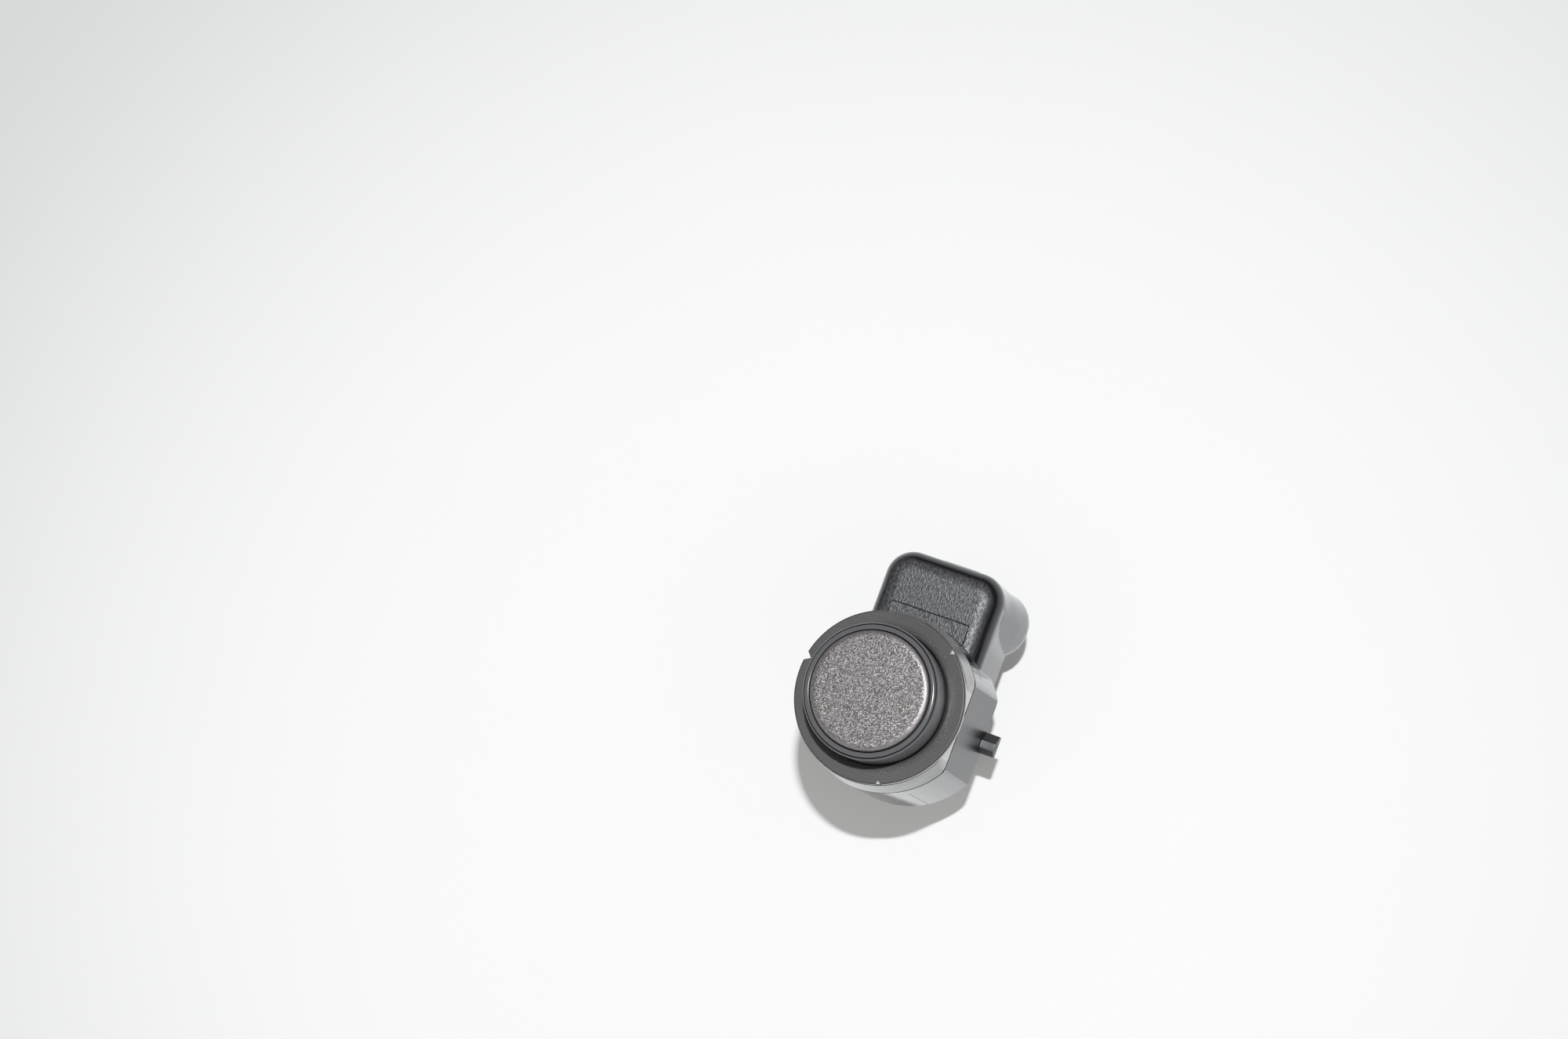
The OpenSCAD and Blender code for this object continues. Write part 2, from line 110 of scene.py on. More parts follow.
# Forms of the housing that its finish and softened walls follow
BOX_ROUND = 2.8 * MM
SHROUD_BAND = 0.8 * MM

# Depths below the ring's top that end its lip and its shoulder
LIP_BAND = 0.45 * MM
SHOULDER_BAND = 0.95 * MM

# How far the ring's lip is drawn in, lowered and opened, and its shoulder and groove are moved
LIP_DRAW = 0.22 * MM
LIP_LOWER = 0.2 * MM
LIP_OPEN = 0.06 * MM
SHOULDER_OUT = 0.1 * MM
GROOVE_LOWER = 0.55 * MM

# Limits that find edges, corners and walls in the meshes
CLOSE = 0.01 * MM
WELD_DISTANCE = 0.0005 * MM
FLAT_ANGLE = math.radians(0.3)
SHARP_ANGLE = math.radians(25.0)
CORNER_LOW = math.radians(20.0)
CORNER_HIGH = math.radians(40.0)
SEAM_BAND = 0.05 * MM
WALL_SLOPE = 0.5

# Faces across the rounding of each flat's corner
FLAT_STEPS = 4

# An edge's wear is its turn in degrees, divided by the first number and lessened by the second
RUB_TURN = 20.0
RUB_START = 0.7

# Axes along which the components lie
ALONG_X = 0
ALONG_Z = 2

# Colours that several finishes share
BLACK = (0.0, 0.0, 0.0)
GREY_DUST = (0.12, 0.12, 0.12)

# Shown value for each level of light, with a soft shoulder up to the white level
WHITE_LEVEL = 1.4
RESPONSE = ((0.14, 0.14), (0.28, 0.28), (0.56, 0.56), (0.98, 0.86), (1.4, 0.985))

# The place of the curve that acts on all colours
COMBINED_CURVE = 3


# Sizes, colours and stage values that a user may change

class SensorSizes(bpy.types.PropertyGroup):
    """Sizes of the moulded edges and of the finishes' texture."""

    edge_radius: FloatProperty(
        name="Edge radius",
        description="Radius of the housing's moulded edges",
        default=0.12 * MM,
        min=0.0,
        precision=5,
        unit="LENGTH",
    )
    edge_steps: IntProperty(
        name="Edge steps",
        description="Faces across each moulded edge",
        default=2,
        min=1,
        max=4,
    )
    flat_round: FloatProperty(
        name="Flat rounding",
        description="Distance from each corner of the flats at which its rounding starts",
        default=0.5 * MM,
        min=0.0,
        precision=5,
        unit="LENGTH",
    )
    flake: FloatProperty(
        name="Flake size",
        description="Size of the metal flakes in the membrane's paint",
        default=0.09 * MM,
        precision=5,
        unit="LENGTH",
    )
    grain: FloatProperty(
        name="Grain size",
        description="Size of the fine grain of moulded plastic",
        default=0.09 * MM,
        precision=5,
        unit="LENGTH",
    )
    box_grain: FloatProperty(
        name="Box grain size",
        description="Width of the strokes in the eroded grain on top of the connector box",
        default=0.20 * MM,
        precision=5,
        unit="LENGTH",
    )
    speck: FloatProperty(
        name="Speck size",
        description="Spacing of the paint specks and dust on the plastic",
        default=0.7 * MM,
        precision=5,
        unit="LENGTH",
    )


class SensorColours(bpy.types.PropertyGroup):
    """Base colours of the finishes."""

    paint_dark: FloatVectorProperty(
        name="Paint, dark flakes",
        description="Dark flakes and ground of the membrane's paint",
        subtype="COLOR",
        size=3,
        default=(0.090, 0.083, 0.086),
        min=0.0,
        max=1.0,
    )
    paint_light: FloatVectorProperty(
        name="Paint, light flakes",
        description="Light flakes of the membrane's paint",
        subtype="COLOR",
        size=3,
        default=(0.322, 0.304, 0.314),
        min=0.0,
        max=1.0,
    )
    collar: FloatVectorProperty(
        name="Collar plastic",
        description="Plastic of the front collar",
        subtype="COLOR",
        size=3,
        default=(0.058, 0.0578, 0.059),
        min=0.0,
        max=1.0,
    )
    # The skirt is lighter than the collar's front: partly bare plastic under the front's dark coat,
    # partly painted reflection of the bright floor.
    skirt: FloatVectorProperty(
        name="Collar skirt",
        description="Smooth side of the front collar",
        subtype="COLOR",
        size=3,
        default=(0.22, 0.225, 0.225),
        min=0.0,
        max=1.0,
    )
    silicone: FloatVectorProperty(
        name="Ring silicone",
        description="Silicone of the decoupling ring",
        subtype="COLOR",
        size=3,
        default=(0.085, 0.086, 0.092),
        min=0.0,
        max=1.0,
    )
    housing: FloatVectorProperty(
        name="Housing plastic",
        description="Black plastic of the housing",
        subtype="COLOR",
        size=3,
        default=(0.010, 0.010, 0.011),
        min=0.0,
        max=1.0,
    )
    tin: FloatVectorProperty(
        name="Tinned metal",
        description="Tinned pins and terminals",
        subtype="COLOR",
        size=3,
        default=(0.78, 0.76, 0.72),
        min=0.0,
        max=1.0,
    )


class SensorStage(bpy.types.PropertyGroup):
    """Floor and light."""

    floor: FloatVectorProperty(
        name="Floor",
        description="Colour of the plain floor",
        subtype="COLOR",
        size=3,
        default=(0.85, 0.855, 0.86),
        min=0.0,
        max=1.0,
    )
    key_power: FloatProperty(
        name="Key light",
        description="Power of the lamp overhead",
        default=13.2,
        min=0.0,
    )
    sky: FloatProperty(
        name="Room light",
        description="Brightness of the soft light around the lamp",
        default=1.25,
        min=0.0,
    )
    zenith: FloatProperty(
        name="Ceiling",
        description="Brightness straight above, as a part of the room light",
        default=0.15,
        min=0.0,
        max=1.0,
    )
    # Far floor: the floor's colour outside the painted pool of light, which stands in for the lamp's
    # fall-off
    far_floor: FloatProperty(
        name="Far floor",
        description="Brightness of the floor away from the sensor, as a part of its full brightness",
        default=0.58,
        min=0.0,
        max=1.0,
    )
    horizon: FloatProperty(
        name="Horizon",
        description="Brightness of the room near the horizon",
        default=0.05,
        min=0.0,
    )


# Node trees

# Places of the Mix node's sockets for values and for colours
MIX_FACTOR = 0
MIX_VALUES = (2, 3)
MIX_COLOURS = (6, 7)
MIXED_VALUE = 0
MIXED_COLOUR = 2


class Graph:
    """A node tree, with short calls that add to it."""

    def __init__(self, tree):
        self.tree = tree

    def node(self, kind, inputs=None, **settings):
        made = self.tree.nodes.new(kind)
        for key, value in settings.items():
            setattr(made, key, value)
        for key, value in (inputs or {}).items():
            self.set(made.inputs[key], value)
        return made

    def set(self, socket, value):
        if isinstance(value, bpy.types.NodeSocket):
            self.tree.links.new(value, socket)
        else:
            socket.default_value = value

    def math(self, operation, *values):
        made = self.node("ShaderNodeMath", operation=operation)
        for socket, value in zip(made.inputs, values):
            self.set(socket, value)
        return made.outputs[0]

    def vector(self, operation, *values):
        made = self.node("ShaderNodeVectorMath", operation=operation)
        for socket, value in zip(made.inputs, values):
            self.set(socket, value)
        return made.outputs[0]

    def scaled(self, vector, factor):
        made = self.node("ShaderNodeVectorMath", operation="SCALE")
        self.set(made.inputs["Vector"], vector)
        self.set(made.inputs["Scale"], factor)
        return made.outputs[0]

    def parts(self, vector):
        return self.node("ShaderNodeSeparateXYZ", {"Vector": vector}).outputs

    def joined(self, x, y, z):
        return self.node("ShaderNodeCombineXYZ", {"X": x, "Y": y, "Z": z}).outputs[0]

    def span(self, value, low, high, start=0.0, end=1.0):
        """Runs smoothly from start to end while the value goes from low to high."""
        made = self.node(
            "ShaderNodeMapRange",
            {"Value": value, "From Min": low, "From Max": high, "To Min": start, "To Max": end},
            interpolation_type="SMOOTHSTEP",
        )
        return made.outputs["Result"]

    def between(self, mask, start, end):
        """Runs smoothly from start to end while the mask goes from 0 to 1."""
        return self.span(mask, 0.0, 1.0, start, end)

    def ramp(self, value, low, high):
        """Runs evenly from 0 to 1 while the value goes from low to high."""
        made = self.node("ShaderNodeMapRange", {"Value": value, "From Min": low, "From Max": high})
        return made.outputs["Result"]

    def mix(self, factor, first, second, blend="MIX"):
        """A colour between two others."""
        made = self.node("ShaderNodeMix", {MIX_FACTOR: factor}, data_type="RGBA", blend_type=blend)
        for place, value in zip(MIX_COLOURS, (first, second)):
            if not isinstance(value, bpy.types.NodeSocket):
                value = (*value, 1.0)
            self.set(made.inputs[place], value)
        return made.outputs[MIXED_COLOUR]

    def noise(self, vector, scale, detail=2.0, roughness=0.5):
        return self.node(
            "ShaderNodeTexNoise",
            {"Vector": vector, "Scale": scale, "Detail": detail, "Roughness": roughness},
        ).outputs["Fac"]

    def cells(self, vector, scale):
        return self.node("ShaderNodeTexVoronoi", {"Vector": vector, "Scale": scale}).outputs

    def vector_length(self, vector):
        made = self.node("ShaderNodeVectorMath", operation="LENGTH")
        self.set(made.inputs[0], vector)
        return made.outputs["Value"]

    def blend(self, factor, first, second):
        """A value between two others."""
        made = self.node("ShaderNodeMix", {MIX_FACTOR: factor}, data_type="FLOAT")
        for place, value in zip(MIX_VALUES, (first, second)):
            self.set(made.inputs[place], value)
        return made.outputs[MIXED_VALUE]

    def dot(self, vector, other):
        made = self.node("ShaderNodeVectorMath", operation="DOT_PRODUCT")
        self.set(made.inputs[0], vector)
        self.set(made.inputs[1], other)
        return made.outputs["Value"]

    def turned(self, vector):
        """A direction of the piece, turned into the world's."""
        made = self.node(
            "ShaderNodeVectorTransform", {"Vector": vector},
            vector_type="NORMAL", convert_from="OBJECT", convert_to="WORLD",
        )
        return made.outputs["Vector"]

    def bump(self, height, strength, distance):
        return self.node(
            "ShaderNodeBump",
            {"Height": height, "Strength": strength, "Distance": distance},
        ).outputs["Normal"]

    def product(self, *values):
        """All values multiplied, as where several masks overlap."""
        total = values[0]
        for value in values[1:]:
            total = self.math("MULTIPLY", total, value)
        return total

    def place(self):
        """Coordinates that stay with the piece, in metres."""
        return self.node("ShaderNodeTexCoord").outputs["Object"]


def new_group(name, inputs, outputs):
    """An empty shader node group with named value sockets, its entry and its exit."""
    tree = bpy.data.node_groups.new(name, "ShaderNodeTree")
    for label, default in inputs:
        socket = tree.interface.new_socket(label, in_out="INPUT", socket_type="NodeSocketFloat")
        socket.default_value = default
    for label in outputs:
        tree.interface.new_socket(label, in_out="OUTPUT", socket_type="NodeSocketFloat")
    graph = Graph(tree)
    entry = graph.node("NodeGroupInput")
    leave = graph.node("NodeGroupOutput")
    return graph, entry.outputs, leave.inputs


def grain_group():
    """Fine grain of a moulded surface, and its slow change of gloss."""
    name = "moulded_grain"
    if name in bpy.data.node_groups:
        return bpy.data.node_groups[name]
    values = [("Size", 0.1 * MM), ("Patches", 5 * MM)]
    graph, given, result = new_group(name, values, ["Height", "Gloss"])
    place = graph.place()
    fine = graph.math("DIVIDE", 1.0, given["Size"])
    slow = graph.math("DIVIDE", 1.0, given["Patches"])
    rough = graph.noise(place, fine, 3.0, 0.6)
    pits = graph.cells(place, fine)["Distance"]
    graph.set(result["Height"], graph.math("MULTIPLY_ADD", pits, 0.5, rough))
    graph.set(result["Gloss"], graph.span(graph.noise(place, slow, 4.0, 0.6), 0.3, 0.7))
    return graph.tree


def speck_group():
    """Specks of dust or paint mist, sparse and of uneven size."""
    name = "specks"
    if name in bpy.data.node_groups:
        return bpy.data.node_groups[name]
    values = [("Spacing", 0.7 * MM), ("Share", 0.3), ("Radius", 0.2)]
    graph, given, result = new_group(name, values, ["Mask"])
    found = graph.cells(graph.place(), graph.math("DIVIDE", 1.0, given["Spacing"]))
    chance = graph.parts(found["Color"])
    radius = graph.product(graph.math("MULTIPLY_ADD", chance[1], 0.8, 0.2), given["Radius"])
    inside = graph.span(graph.math("DIVIDE", found["Distance"], radius), 1.0, 0.6)
    kept = graph.math("LESS_THAN", chance[0], given["Share"])
    graph.set(result["Mask"], graph.product(inside, kept))
    return graph.tree


def wear_group():
    """Edges that handling has polished, broken up by noise."""
    name = "edge_rub"
    if name in bpy.data.node_groups:
        return bpy.data.node_groups[name]
    graph, given, result = new_group(name, [("Size", 0.6 * MM)], ["Mask"])
    edge = graph.node("ShaderNodeAttribute", attribute_name="edge").outputs["Fac"]
    broken = graph.noise(graph.place(), graph.math("DIVIDE", 1.0, given["Size"]), 4.0, 0.6)
    graph.set(result["Mask"], graph.product(edge, graph.span(broken, 0.4, 0.65)))
    return graph.tree


def new_finish(name):
    """A material with a Principled shader, its graph and the shader's sockets."""
    material = bpy.data.materials.new(name)
    material.use_nodes = True
    graph = Graph(material.node_tree)
    shader = material.node_tree.nodes["Principled BSDF"]
    return material, graph, shader.inputs


def toned(colour, share):
    """A share of a colour."""
    return [share * c for c in colour]


def placed(graph, group, values):
    """Places a shared group in a material with its own values."""
    made = graph.node("ShaderNodeGroup", node_tree=group)
    for key, value in values.items():
        made.inputs[key].default_value = value
    return made.outputs


def dress(node, material):
    """Gives a CAD node its finish."""
    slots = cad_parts[node].material_slots
    if not slots:
        raise RuntimeError(f"{node} has no material slot")
    for slot in slots:
        slot.material = material


# Places on the CAD model

def housing_places():
    """Half the width across the flats, the tops of the box and of the lugs, all in metres."""
    points = [vertex.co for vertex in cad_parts["housing"].data.vertices]
    collar_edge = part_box("front_collar")[1].y
    lug_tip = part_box("housing")[1].x
    box_top = max(p.z for p in points if p.y > collar_edge)
    lug_top = max(p.z for p in points if p.x > lug_tip - 1.0 * MM)
    flat = max(p.x for p in points if p.z > lug_top + 1.0 * MM)
    return flat, box_top, lug_top


# Finishes of the visible pieces

def paint_finish(sizes, colours):
    """Paint full of flakes on the cup's domed front, a dark ragged edge, and bare metal behind it."""
    paint_end = 0.20 * MM
    paint_full = 0.08 * MM
    bare_start = 1.2 * MM
    bare_full = 1.4 * MM
    ragged_size = 0.15 * MM
    ragged_depth = 0.12 * MM
    rim_width = 0.9 * MM
    rim_slope = 0.66
    rim_calm = 0.7
    rim_paint = (0.150, 0.140, 0.145)
    dark_edge = (0.065, 0.060, 0.058)
    warm_hue = (1.0, 0.90, 0.74)
    cool_hue = (0.80, 0.90, 1.0)
    glint_share = 0.03
    glint_paint = (0.62, 0.60, 0.58)
    flake_tilt = 0.15
    line_size = 0.08 * MM
    line_dark = (0.60, 0.60, 0.61)
    line_light = (0.76, 0.76, 0.77)
    material, graph, socket = new_finish("membrane_paint")
    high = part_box("transducer_cup")[1]
    front = high.z
    edge = high.x
    place = graph.place()
    x, y, z = graph.parts(place)
    sideways = graph.joined(x, y, 0.0)
    radius = graph.vector_length(sideways)
    ragged = graph.noise(place, 1.0 / ragged_size)
    level = graph.math("MULTIPLY_ADD", ragged, ragged_depth, z)
    painted = graph.span(level, front - paint_end, front - paint_full)
    behind = graph.span(z, front - bare_start, front - bare_full)
    flakes = graph.cells(place, 1.0 / sizes.flake)
    chance = graph.parts(flakes["Color"])
    tone = graph.mix(graph.math("POWER", chance[0], 2.2), colours.paint_dark, colours.paint_light)
    hue = graph.mix(chance[1], warm_hue, cool_hue)
    # Sparse flakes get a light colour: painted glints.
    glint = graph.math("GREATER_THAN", chance[2], 1.0 - glint_share)
    flaked = graph.mix(1.0, graph.mix(glint, tone, glint_paint), hue, "MULTIPLY")
    on_rim = graph.span(radius, edge - 0.65 * rim_width, edge - 0.35 * rim_width)
    calm = graph.product(on_rim, rim_calm)
    paint = graph.mix(calm, flaked, rim_paint)
    lines = graph.noise(graph.joined(0.0, 0.0, z), 1.0 / line_size, 3.0)
    bare = graph.mix(lines, line_dark, line_light)
    # Below the paint's ragged edge the cup is dark: partly its dark ground, partly painted shade in
    # the gap beside the ring's lip.
    under = graph.mix(behind, dark_edge, bare)
    graph.set(socket["Base Color"], graph.mix(painted, under, paint))
    graph.set(socket["Metallic"], graph.math("MAXIMUM", behind, graph.product(painted, 0.6)))
    graph.set(socket["Roughness"], graph.between(chance[1], 0.34, 0.44))
    graph.set(socket["Coat Weight"], graph.product(painted, 0.7))
    socket["Coat Roughness"].default_value = 0.2
    outward = graph.math("POWER", graph.ramp(radius, edge - rim_width, edge), 1.5)
    across = graph.vector("NORMALIZE", sideways)
    lean = graph.scaled(across, graph.product(outward, rim_slope))
    domed = graph.turned(graph.vector("NORMALIZE", graph.vector("ADD", lean, (0.0, 0.0, 1.0))))
    own = graph.node("ShaderNodeNewGeometry").outputs["Normal"]
    kept = graph.scaled(own, graph.math("SUBTRACT", 1.0, painted))
    facing = graph.vector("ADD", kept, graph.scaled(domed, painted))
    loose = graph.product(graph.math("SUBTRACT", 1.0, calm), painted)
    tilt = graph.scaled(graph.vector("SUBTRACT", flakes["Color"], (0.5, 0.5, 0.5)), flake_tilt)
    tilted = graph.vector("ADD", facing, graph.scaled(tilt, loose))
    graph.set(socket["Normal"], graph.vector("NORMALIZE", tilted))
    return material


def silicone_finish(colours):
    """Dark silicone with a soft sheen that holds dust, painted darker towards its foot as shade."""
    dust_colour = (0.20, 0.19, 0.19)
    material, graph, socket = new_finish("ring_silicone")
    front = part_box("decoupling_ring")[1].z
    z = graph.parts(graph.place())[2]
    grain = placed(graph, grain_group(), {"Size": 0.06 * MM, "Patches": 3 * MM})
    dust = placed(graph, speck_group(), {"Spacing": 0.5 * MM, "Share": 0.10, "Radius": 0.12})
    base = graph.mix(grain["Gloss"], colours.silicone, toned(colours.silicone, 0.88))
    # Painted shade: the ring's lower wall is darkened where it stands in the collar's bore.
    depth = graph.span(z, 0.0, 0.5 * front)
    painted_shade_foot = graph.mix(depth, toned(colours.silicone, 0.8), base)
    graph.set(socket["Base Color"], graph.mix(dust["Mask"], painted_shade_foot, dust_colour))
    graph.set(socket["Roughness"], graph.between(grain["Gloss"], 0.17, 0.22))
    graph.set(socket["Normal"], graph.bump(grain["Height"], 0.08, 0.01 * MM))
    return material


def collar_finish(sizes, colours):
    """Dark grey plastic: grained front with a mist of paint near the head and painted shade around the
    head; a smooth streaked skirt and a nick whose lighter colours are partly painted reflection and
    highlight.
    """
    brown_tones = (0.82, 0.76, 0.72)
    mottle_size = 0.16 * MM
    mottle_depth = 0.36
    painted_shade_depth = 0.45
    patch_depth = 0.08
    streak_size = 0.3 * MM
    streak_stretch = 0.06
    nick_grey = (0.42, 0.43, 0.42)
    speck_colour = (0.36, 0.33, 0.31)
    material, graph, socket = new_finish("collar_plastic")
    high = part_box("front_collar")[1]
    front_z = high.z
    edge = high.x
    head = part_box("decoupling_ring")[1].x
    place = graph.place()
    x, y, z = graph.parts(place)
    radius = graph.vector_length(graph.joined(x, y, 0.0))
    grain = placed(graph, grain_group(), {"Size": sizes.grain, "Patches": 4 * MM})
    mist = placed(graph, speck_group(), {"Spacing": 0.2 * MM, "Share": 0.4, "Radius": 0.3})
    stray = placed(graph, speck_group(), {"Spacing": 0.5 * sizes.speck, "Share": 0.12, "Radius": 0.17})
    upward = graph.parts(graph.node("ShaderNodeTexCoord").outputs["Normal"])[2]
    ahead = graph.span(z, front_z - 0.4 * MM, front_z - 0.2 * MM)
    front = graph.math("MAXIMUM", ahead, graph.span(upward, 0.5, 0.8))
    from_band = graph.math("ABSOLUTE", graph.math("SUBTRACT", radius, head + 0.4 * MM))
    band = graph.span(from_band, 0.5 * MM, 0.15 * MM)
    beside = graph.product(graph.span(x, -1 * MM, 5 * MM), band, mist["Mask"])
    specks = graph.math("MAXIMUM", beside, stray["Mask"])
    warm = graph.span(graph.math("MULTIPLY_ADD", y, 0.6, x), 0.0, 0.8 * edge)
    brown = [tone * c for tone, c in zip(brown_tones, colours.collar)]
    mottle = graph.span(graph.noise(place, 1.0 / mottle_size), 0.38, 0.62)
    plain = graph.mix(warm, colours.collar, brown)
    mottled = graph.mix(graph.blend(mottle, mottle_depth, 0.0), plain, BLACK)
    # Painted shade: the front is darkened close to the head, where the head's shadow falls.
    near_head = graph.span(radius, head + 0.8 * MM, head + 0.2 * MM)
    face = graph.mix(graph.product(near_head, painted_shade_depth), mottled, BLACK)
    drawn = graph.joined(graph.product(x, streak_stretch), graph.product(y, streak_stretch), z)
    streak = graph.span(graph.noise(drawn, 1.0 / streak_size, 4.0, 0.6), 0.35, 0.65)
    # The skirt's lighter colour is partly the bare plastic under the front's coat and partly painted
    # reflection of the bright floor.
    skirt = graph.mix(streak, colours.skirt, toned(colours.skirt, 0.75))
    base = graph.mix(front, skirt, face)
    # The nick's inside is painted light grey: partly the bare plastic under the coat, partly a painted
    # highlight.
    in_nick = graph.product(
        graph.span(radius, edge - 1.3 * MM, edge - 1.2 * MM),
        graph.span(radius, edge - 0.08 * MM, edge - 0.16 * MM),
        graph.span(z, front_z - 0.05 * MM, front_z - 0.12 * MM),
        graph.span(y, 0.85 * edge, 0.8 * edge),
    )
    nicked = graph.mix(in_nick, base, nick_grey)
    uneven = graph.mix(grain["Gloss"], nicked, graph.mix(patch_depth, nicked, BLACK))
    graph.set(socket["Base Color"], graph.mix(specks, uneven, speck_colour))
    dull = graph.between(grain["Gloss"], 0.40, 0.46)
    sleek = graph.between(streak, 0.12, 0.2)
    graph.set(socket["Roughness"], graph.blend(front, sleek, dull))
    depth = graph.math("MULTIPLY_ADD", front, 0.9, 0.1)
    graph.set(socket["Normal"], graph.bump(graph.product(grain["Height"], depth), 0.35, 0.012 * MM))
    return material


def housing_finish(sizes, colours):
    """Black plastic: glossy barrel with dull flats and a mould line, grained box with painted glints,
    painted light on the lugs, and painted reflection on the shroud.
    """
    stroke_dark = (0.010, 0.010, 0.012)
    stroke_light = (0.072, 0.072, 0.078)
    stroke_stretch = 0.4
    stroke_depth = 0.055
    grain_depth = 0.0008
    reflection_light = (0.17, 0.175, 0.18)
    reflection_dark = (0.14, 0.144, 0.148)
    lug_side = (0.03, 0.03, 0.032)
    lug_face = (0.022, 0.022, 0.024)
    rub_colour = (0.04, 0.04, 0.043)
    rub_share = 0.4
    line_half = (0.14 * MM, 0.04 * MM)
    line_front = (-9.0 * MM, -9.5 * MM)
    line_top = (-7.6 * MM, -8.2 * MM)
    line_depth = 0.004
    line_rough = 0.3
    flat_rough = 0.34
    lug_rough = 0.36
    material, graph, socket = new_finish("housing_plastic")
    flat, box_top, lug_top = housing_places()
    collar_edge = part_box("front_collar")[1].y
    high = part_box("housing")[1]
    x, y, z = graph.parts(graph.place())
    side = graph.math("ABSOLUTE", x)
    fine = placed(graph, grain_group(), {"Size": sizes.grain, "Patches": 6 * MM})
    rub = placed(graph, wear_group(), {"Size": 0.5 * MM})
    dust = placed(graph, speck_group(), {"Spacing": sizes.speck, "Share": 0.05, "Radius": 0.10})
    on_box = graph.product(
        graph.span(z, box_top - 0.7 * MM, box_top - 0.2 * MM),
        graph.span(z, box_top + 0.4 * MM, box_top + 0.2 * MM),
        graph.span(y, 0.3 * high.y, 0.4 * high.y),
    )
    on_lug = graph.product(
        graph.span(side, flat + 0.05 * MM, flat + 0.25 * MM),
        graph.span(z, lug_top - 0.12 * MM, lug_top - 0.02 * MM),
    )
    on_flat = graph.span(side, flat - 0.04 * MM, flat - 0.015 * MM)
    from_line = graph.math("ABSOLUTE", graph.math("SUBTRACT", x, 0.6 * flat))
    line = graph.product(
        graph.span(from_line, *line_half),
        graph.span(y, *line_front),
        graph.span(z, *line_top),
    )
    base = graph.mix(fine["Gloss"], colours.housing, toned(colours.housing, 0.75))
    stretched = graph.joined(x, graph.product(y, stroke_stretch), z)
    strokes = graph.noise(stretched, 1.0 / sizes.box_grain, 3.0, 0.6)
    raised = graph.span(strokes, 0.36, 0.64)
    on_shroud = graph.product(
        graph.span(y, collar_edge - 1.5 * MM, collar_edge + 1.5 * MM),
        graph.span(z, box_top - BOX_ROUND, box_top - BOX_ROUND - 2.0 * MM),
    )
    # The lug's sides and top face are painted lighter than the housing's plastic: painted light and
    # reflection where they face the lamp and the floor.
    on_side = graph.product(
        graph.span(side, flat + 0.1 * MM, flat + 0.3 * MM),
        graph.span(z, lug_top - 0.02 * MM, lug_top - 0.12 * MM),
    )
    # The shroud's walls are painted grey: painted reflection of the bright floor in the black plastic.
    painted_reflection = graph.mix(fine["Gloss"], reflection_light, reflection_dark)
    with_painted_reflection = graph.mix(on_side, graph.mix(on_shroud, base, painted_reflection), lug_side)
    # The raised strokes of the box's grain are painted lighter: painted glints where the grain catches
    # the lamp.
    painted_glints = graph.mix(raised, stroke_dark, stroke_light)
    with_painted_light = graph.mix(on_lug, graph.mix(on_box, with_painted_reflection, painted_glints), lug_face)
    worn = graph.mix(graph.product(rub["Mask"], rub_share), with_painted_light, rub_colour)
    graph.set(socket["Base Color"], graph.mix(dust["Mask"], worn, GREY_DUST))
    gloss = graph.between(fine["Gloss"], 0.09, 0.12)
    dulled = graph.blend(on_flat, gloss, flat_rough)
    eased = graph.blend(on_lug, dulled, lug_rough)
    rough = graph.blend(on_box, eased, graph.between(raised, 0.44, 0.30))
    graph.set(socket["Roughness"], graph.math("MAXIMUM", rough, graph.product(line, line_rough)))
    eroded = graph.product(strokes, on_box, stroke_depth)
    moulded = graph.math("MULTIPLY_ADD", fine["Height"], grain_depth, eroded)
    height = graph.math("MULTIPLY_ADD", line, -line_depth, moulded)
    graph.set(socket["Normal"], graph.bump(height, 1.0, 1.0 * MM))
    socket["Specular Tint"].default_value = (0.95, 0.975, 1.0, 1.0)
    return material


def tin_finish(colours, name):
    """Tinned metal with drawing lines and dull patches."""
    material, graph, socket = new_finish(name)
    place = graph.place()
    x, y, z = graph.parts(place)
    drawn = graph.joined(x, y, graph.product(z, 0.04))
    lines = graph.noise(drawn, 1.0 / (0.05 * MM), 3.0)
    dull = graph.span(graph.noise(place, 1.0 / (1.2 * MM), 4.0), 0.35, 0.7)
    graph.set(socket["Base Color"], graph.mix(dull, colours.tin, toned(colours.tin, 0.7)))
    graph.set(socket["Roughness"], graph.between(dull, 0.22, 0.42))
    graph.set(socket["Normal"], graph.bump(lines, 0.25, 0.01 * MM))
    socket["Metallic"].default_value = 1.0
    return material


# Finishes of the pieces inside

def plain_finish(name, colour, other, size, roughness, depth=0.3):
    """A grained finish of two close colours."""
    material, graph, socket = new_finish(name)
    grain = placed(graph, grain_group(), {"Size": size, "Patches": 12 * size})
    graph.set(socket["Base Color"], graph.mix(grain["Gloss"], colour, other))
    graph.set(socket["Roughness"], graph.between(grain["Gloss"], roughness, roughness + 0.15))
    graph.set(socket["Normal"], graph.bump(grain["Height"], depth, 0.1 * size))
    return material


